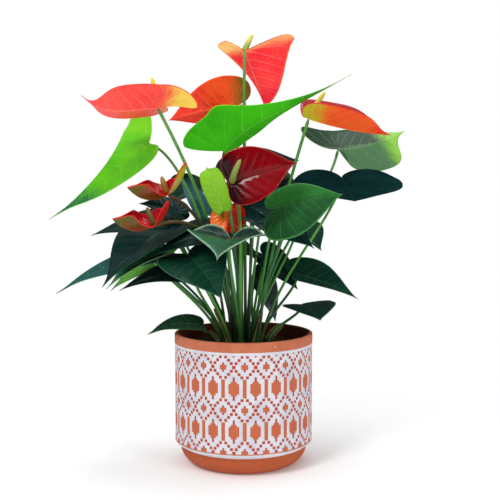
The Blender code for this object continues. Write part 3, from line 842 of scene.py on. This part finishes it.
LEAF_LOOKS = {
    # Leaf 01's lighter lobe colour is a painted highlight near its upper lobe.
    "01": (side((92, 186, 22), shade=(74, 168, 24), vein=(170, 226, 92), edge=(120, 204, 60),
                tip=(20, 84, 66), lobe=(118, 200, 40), tip_at=0.72, edge_width=0.8, veins=0.14, gloss=0.4,
                glow=0.08),
           side((20, 74, 66), vein=(70, 130, 100), veins=0.3, raised=1)),
    "02": (side((56, 170, 18), shade=(40, 148, 16), vein=(132, 214, 80), edge=(120, 206, 52),
                tip=(84, 140, 44), tip_at=0.78, edge_width=0.8, veins=0.2, gloss=0.4, glow=0.08),
           side((96, 170, 60), vein=(150, 210, 110), raised=1)),
    "03": (side((86, 134, 92), shade=(64, 116, 74), vein=(150, 190, 130), left=(24, 56, 38),
                tip=(136, 196, 74), edge=(140, 186, 100), edge_width=0.7, tip_at=0.7, veins=0.25, coat=0.2,
                glow=0.03),
           side((56, 110, 72), shade=(44, 90, 60), vein=(110, 150, 110), raised=1)),
    "04": (side((14, 44, 44), shade=(9, 32, 34), vein=(28, 72, 66), edge=(20, 66, 56), edge_width=0.6,
                veins=0.4, gloss=0.5, shine=0.0),
           side((34, 84, 62), vein=(70, 124, 90), raised=1)),
    "05": (side((28, 84, 38), shade=(20, 66, 32), vein=(80, 140, 76), left=(40, 108, 44),
                edge=(70, 136, 70), veins=0.35), PALE_UNDER),
    # Leaf 06's wide pale margin band is partly the paler underside at its drooping margin and partly a
    # painted highlight along it.
    "06": (side((20, 62, 48), shade=(40, 90, 64), vein=(90, 140, 106), edge=(138, 172, 138),
                lobe=(10, 42, 36), lobe_at=0.3, edge_width=2.6, veins=0.35, coat=0.2, gloss=0.35),
           PALE_UNDER),
    "07": (side((16, 62, 46), shade=(12, 50, 40), vein=(56, 116, 80), edge=(60, 112, 80), edge_width=0.9,
                veins=0.5, gloss=0.32, coat=0.15), PALE_UNDER),
    "10": (side((38, 88, 84), shade=(24, 70, 66), vein=(84, 136, 110), edge=(84, 140, 104), edge_width=1.4),
           PALE_UNDER),
    "11": (side((90, 158, 58), vein=(140, 196, 100), tip=(50, 110, 70)), PALE_UNDER),
    "13": (side((38, 76, 50), shade=(30, 66, 44), vein=(80, 120, 84), edge=(60, 100, 60)), PALE_UNDER),
    "14": (side((24, 70, 52), shade=(18, 58, 46), vein=(66, 116, 84), edge=(70, 128, 84), edge_width=1.2),
           PALE_UNDER),
    "15": (side((18, 60, 48), shade=(14, 50, 42), vein=(50, 104, 76), edge=(50, 100, 70)), PALE_UNDER),
    "17": (side((66, 106, 124), shade=(36, 80, 84), vein=(90, 140, 140), gloss=0.24, coat=0.5), PALE_UNDER),
}
DARK_LEAF = (
    side(NIGHT, shade=(10, 38, 36), vein=(36, 86, 70), edge=(30, 80, 62), edge_width=0.7, veins=0.4,
         gloss=0.33, coat=0.14),
    side((24, 70, 50), shade=(18, 58, 44), vein=(70, 120, 84), gloss=0.5, raised=1),
)

# Smaller leaves that stand among the modelled ones.
EXTRA_LEAVES = [
    blade("24", (-22, -34, 126), (-88, -72, 104), (-0.1, -0.45, 0.9), (30, 32), lobe=0.3, fold=(0.1, 0.1),
          drip=0.4, root=(-10, -8)),
    blade("18", (-4, 0, 185), (61, 20, 201), (0, -0.7, 0.7), (30, 26), lobe=0.3, root=(-2, 2)),
    blade("19", (44, -70, 139), (60, -20, 153), (0, -0.5, 0.85), (16, 16), lobe=0.3, root=(8, -10)),
    blade("20", (16, 60, 65), (37, 90, 12), (0.2, -0.6, 0.7), (24, 22), lobe=0.2, root=(10, 20)),
    blade("21", (-4, 30, 102), (21, 60, 88), (0, -0.6, 0.8), (22, 20), lobe=0.3, root=(0, 16)),
    blade("22", (-74, 0, 145), (-114, 10, 154), (0, -0.5, 0.85), (18, 18), lobe=0.3, root=(-16, 2)),
    blade("23", (-22, -44, 150), (-38, -42, 193), (-0.1, -0.95, 0.2), (12, 14), lobe=0.1, belly=1.6,
          widest=0.5, root=(-8, -14)),
    blade("25", (12, 14, 178), (66, -2, 160), (0, -0.45, 0.9), (34, 30), lobe=0.3, drip=0.3, root=(4, 4)),
    blade("26", (8, -8, 150), (52, -30, 118), (0.1, -0.7, 0.7), (28, 26), lobe=0.3, root=(6, 0)),
    blade("27", (30, -30, 136), (74, -40, 108), (0.1, -0.7, 0.7), (22, 22), lobe=0.28, drip=0.4,
          root=(12, -4)),
    blade("28", (20, 50, 168), (50, 92, 150), (0.1, 0.6, 0.8), (30, 28), lobe=0.3, drip=0.4, root=(4, 14)),
    blade("29", (-50, 50, 172), (-90, 90, 150), (-0.2, 0.6, 0.8), (30, 30), lobe=0.3, drip=0.4,
          root=(-6, 14)),
    blade("30", (-20, 56, 120), (-30, 96, 84), (0, 0.7, 0.7), (30, 28), lobe=0.3, drip=0.4, root=(-4, 18)),
    blade("31", (60, 62, 122), (92, 94, 96), (0.3, 0.6, 0.7), (28, 28), lobe=0.3, drip=0.4, root=(10, 18)),
    blade("32", (-90, -34, 98), (-140, -62, 68), (-0.3, -0.5, 0.8), (15, 17), fold=(0.5, 0.5), lobe=0.2,
          drip=0.4, root=(-18, -8)),
]
EXTRA_LOOKS = {
    "23": (side((140, 208, 40), shade=(150, 216, 60), vein=(190, 232, 110), edge=(110, 180, 50), gloss=0.4),
           side((140, 190, 70), raised=1)),
    "32": (side((34, 84, 56), shade=(70, 120, 84), vein=(96, 146, 100), edge=(130, 176, 110),
                edge_width=2.0, veins=0.4, coat=0.2, gloss=0.3), PALE_UNDER),
}


def blade_materials(name, looks, seed):
    upper, under = looks
    return blade_material(name + "_upper", upper, seed), blade_material(name + "_under", under, seed + 40)


def add_flower(b, index):
    name = "spathe_" + b.name
    b.pucker = SPATHE_PUCKER
    b.wander = SPATHE_WANDER
    make_blade(name, b, *blade_materials(name, SPATHE_LOOKS[b.name], index), "spathe", name)
    look = stem_looks[3 if b.name in ("7", "8") else index % 3]
    name = "flower_stem_" + b.name
    make_stem(name, b, FLOWER_STEM_RADIUS, look, name)
    name = "spadix_" + b.name
    make_spadix(name, b, spadix_material(name, *SPADIX_LOOKS[b.name]), name)


def add_leaf(b, index, looks, *nodes):
    name = "leaf_" + b.name
    b.pucker = LEAF_PUCKER
    b.wander = LEAF_WANDER
    make_blade(name, b, *blade_materials(name, looks.get(b.name, DARK_LEAF), index), "leaf", *nodes[:1])
    make_stem("leaf_stem_" + b.name, b, LEAF_STEM_RADIUS, stem_looks[index % 3], *nodes[1:])


def add_pot():
    """The pot's outline turned round the Z axis, with rounded lips."""
    r, h = POT_RADIUS, POT_HEIGHT
    inner = r - POT_WALL
    outline_points = [
        (0.0, 0.0), (0.0505, 0.0), (0.0535, 0.00015), (r - 0.0195, 0.0009), (r - 0.0172, 0.0021),
        (r - 0.0145, 0.0038), (r - 0.0118, 0.0063), (r - 0.0095, 0.009), (r - 0.0079, 0.012),
        (r - 0.0068, 0.015), (r - 0.0063, 0.0178), (r - 0.0062, 0.0199), (r - 0.0060, 0.0206),
        (r - 0.0012, 0.0236), (r - 0.0004, 0.0243), (r - 0.0003, 0.0252), (r - 0.0003, h - 0.0108),
        (r - 0.0002, h - 0.0104), (r, h - 0.0101), (r, h - 0.0013), (r - 0.0004, h - 0.0004),
        (r - 0.0013, h), (inner + 0.0013, h), (inner + 0.0004, h - 0.0004), (inner, h - 0.0013),
        (inner, SOIL_LEVEL - 0.006), (inner, 0.03), (inner - 0.02, 0.008), (0.0, 0.0065),
    ]
    bm = bmesh.new()
    verts = [bm.verts.new((radius, 0, height)) for radius, height in outline_points]
    edges = [bm.edges.new(ends) for ends in zip(verts, verts[1:])]
    bmesh.ops.spin(bm, geom=verts + edges, cent=(0, 0, 0), axis=(0, 0, 1), angle=2 * math.pi,
                   steps=POT_SIDES, use_duplicate=False)
    bmesh.ops.remove_doubles(bm, verts=bm.verts, dist=0.00002)
    mesh = finished_mesh("pot", bm, pot_material())
    return new_object("pot", mesh, "terracotta", "pot")


def add_soil():
    """A lumpy mound of potting mix that meets the pot's wall, with a skirt down inside it."""
    bm = bmesh.new()
    rows = []
    for i in range(SOIL_RINGS + 1):
        r = SOIL_RADIUS * i / SOIL_RINGS
        row = []
        for k in range(SOIL_SIDES):
            angle = 2 * math.pi * k / SOIL_SIDES
            p = Vector((r * math.cos(angle), r * math.sin(angle), 0))
            lump = noise.fractal(p * 130, 0.6, 2.1, 5) * 0.0014 + noise.noise(p * 60) * 0.0012
            p.z = SOIL_LEVEL + mound(r) + min(lump, 0.0004) - 0.0004
            row.append(bm.verts.new(p))
        rows.append(row)
    rows.append([bm.verts.new((v.co.x, v.co.y, SOIL_LEVEL - 0.02)) for v in rows[-1]])
    join_rings(bm, rows)
    bm.faces.new(rows[-1])
    bmesh.ops.remove_doubles(bm, verts=bm.verts, dist=0.00005)
    soil = finished_mesh("potting_mix", bm, soil_material("potting_mix", (74, 52, 38), (34, 22, 16)))
    new_object("potting_mix", soil, "potting_mix", "potting_mix")
    chance = random.Random(7)
    bm = bmesh.new()
    for _ in range(CRUMBS):
        r = SOIL_RADIUS * math.sqrt(chance.random()) * 0.96
        angle = chance.uniform(0, 2 * math.pi)
        size = chance.uniform(0.0008, 0.0022)
        shape = Vector((chance.uniform(0.8, 1.8), chance.uniform(0.6, 1.1), chance.uniform(0.35, 0.7))) * size
        turn = [chance.uniform(0, 6.3) for _ in range(3)]
        made = bmesh.ops.create_icosphere(bm, subdivisions=2, radius=1)["verts"]
        for v in made:
            p = v.co * (1 + 0.35 * noise.noise(v.co * 1.7 + Vector(turn)))
            p = Vector((p.x * shape.x, p.y * shape.y, p.z * shape.z))
            ca, sa = math.cos(turn[0]), math.sin(turn[0])
            p = Vector((p.x * ca - p.y * sa, p.x * sa + p.y * ca, p.z + 0.3 * p.x * math.sin(turn[1])))
            v.co = p + Vector((r * math.cos(angle), r * math.sin(angle), SOIL_LEVEL + mound(r)))
    crumbs = finished_mesh("bark_crumbs", bm, soil_material("bark_crumbs", (96, 66, 44), (44, 28, 20)))
    new_object("bark_crumbs", crumbs, "potting_mix")


def add_sheath(name, b, height, look):
    """A dry papery sheath that wraps the foot of a stem and ends in a point."""
    path = stem_path(b, 0.0) + np.array((0, 0, SOIL_LEVEL))
    length = np.linalg.norm(np.diff(path, axis=0), axis=1).sum()
    share = min(0.5, height / length)
    path = path[: max(6, int(len(path) * share))]
    t = np.linspace(0, 1, len(path))
    side_way, other = frames(path)
    bm = bmesh.new()
    across = np.linspace(-1, 1, 13)
    turn = sum(map(ord, name))
    rows = []
    for i, s in enumerate(t):
        spread = 1.9 * (1 - s) ** 0.6 + 0.02
        radius = 0.0031 + 0.0016 * s ** 2
        row = []
        for a in across:
            angle = a * spread + turn
            way = side_way[i] * math.cos(angle) + other[i] * math.sin(angle)
            row.append(bm.verts.new(path[i] + way * radius * (1 + 0.08 * math.sin(9 * a + turn))))
        rows.append(row)
    for low, high in zip(rows, rows[1:]):
        for k in range(len(across) - 1):
            bm.faces.new((low[k], low[k + 1], high[k + 1], high[k]))
    obj = new_object(name, finished_mesh(name, bm, look), "leaf_stem")
    solid = obj.modifiers.new("thickness", "SOLIDIFY")
    solid.thickness = 0.0004
    return obj


def sheath_material():
    s = Shade("papery_sheath")
    at = s.place()
    fibre = s.noise(s.joined(*[axis * k for axis, k in zip(s.split(at), (700.0, 700.0, 60.0))]), 1.0, 4, 0.6)
    colour = s.blend(fibre.step(0.3, 0.7), rgb((124, 96, 62)), rgb((172, 144, 100)))
    colour = s.blend(s.noise(at, 90, 3).step(0.5, 0.7) * 0.7, colour, rgb((96, 110, 50)))
    return s.finish(Base_Color=colour, Roughness=fibre * 0.2 + 0.55, Normal=s.bump(fibre, 0.0004, 0.8))


def add_room():
    """A pale floor that fades into the white surroundings, soft lights and the camera."""
    mesh = bpy.data.meshes.new("floor")
    bm = bmesh.new()
    bmesh.ops.create_circle(bm, cap_ends=True, segments=96, radius=FLOOR_RADIUS)
    bm.to_mesh(mesh)
    bm.free()
    floor = bpy.data.objects.new("floor", mesh)
    bpy.context.scene.collection.objects.link(floor)
    floor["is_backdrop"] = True
    s = Shade("pale_floor")
    x, y, _ = s.split(s.place())
    far = (x * x + y * y).math("SQRT").step(0.08, 0.5)
    white = (1.0, 1.0, 1.0)
    s.shader.inputs["Emission Color"].default_value = (*white, 1)
    colour = s.blend(far, (0.95, 0.95, 0.95), (0.0, 0.0, 0.0))
    mesh.materials.append(s.finish(Base_Color=colour, Roughness=0.9, Specular_IOR_Level=0.0,
                                  Emission_Strength=far * 0.9 + 0.1))
    world = bpy.data.worlds.new("studio")
    bpy.context.scene.world = world
    world.use_nodes = True
    tree = world.node_tree
    background = tree.nodes["Background"]
    background.inputs["Color"].default_value = (1, 1, 1, 1)
    way = tree.nodes.new("ShaderNodeSeparateXYZ")
    tree.links.new(tree.nodes.new("ShaderNodeTexCoord").outputs["Generated"], way.inputs[0])
    seen = Number(tree, tree.nodes.new("ShaderNodeLightPath").outputs["Is Camera Ray"])
    sky = Number(tree, way.outputs[2]).step(0.3, 1.0) * (SKY_TOP - SKY_EDGE) + SKY_EDGE
    put(tree, background.inputs["Strength"], sky + seen * (1 - sky))
    for name, place, size, power in LIGHTS:
        lamp = bpy.data.lights.new(name, "AREA")
        lamp.size = size
        lamp.energy = power
        obj = bpy.data.objects.new(name, lamp)
        obj.location = place
        obj.rotation_euler = (Vector((0, 0, 0.25)) - Vector(place)).to_track_quat("-Z", "Y").to_euler()
        bpy.context.scene.collection.objects.link(obj)
    lens = bpy.data.cameras.new("camera")
    lens.lens = LENS
    lens.sensor_width = FILM_WIDTH
    camera = bpy.data.objects.new("camera", lens)
    camera.location = CAMERA_PLACE
    camera.rotation_euler = (math.radians(90 - CAMERA_DOWN), 0, 0)
    bpy.context.scene.collection.objects.link(camera)
    bpy.context.scene.camera = camera


bpy.context.scene.view_settings.view_transform = "Standard"
add_room()
stem_looks = [
    stem_material("stem_a", (44, 84, 40), (58, 136, 50), (84, 150, 58)),
    stem_material("stem_b", (58, 96, 44), (84, 158, 58), (100, 166, 62)),
    stem_material("stem_c", (36, 76, 40), (40, 108, 50), (60, 124, 54)),
    stem_material("stem_olive", (40, 70, 38), (44, 78, 34), (104, 64, 28)),
]
add_pot()
add_soil()
for i, flower in enumerate(FLOWERS):
    add_flower(flower, i)
for i, leaf in enumerate(LEAVES):
    add_leaf(leaf, i + 10, LEAF_LOOKS, "leaf_" + leaf.name, "leaf_stem_" + leaf.name)
for i, leaf in enumerate(EXTRA_LEAVES):
    add_leaf(leaf, i + 30, EXTRA_LOOKS)
paper = sheath_material()
for i, leaf in enumerate(LEAVES[::2] + FLOWERS[4:6]):
    add_sheath("sheath_" + leaf.name, leaf, 0.024 + 0.006 * (i % 4), paper)

sizes = {"cad": [list(corner) for corner in cad_box], "visual": [list(corner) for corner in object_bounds()]}
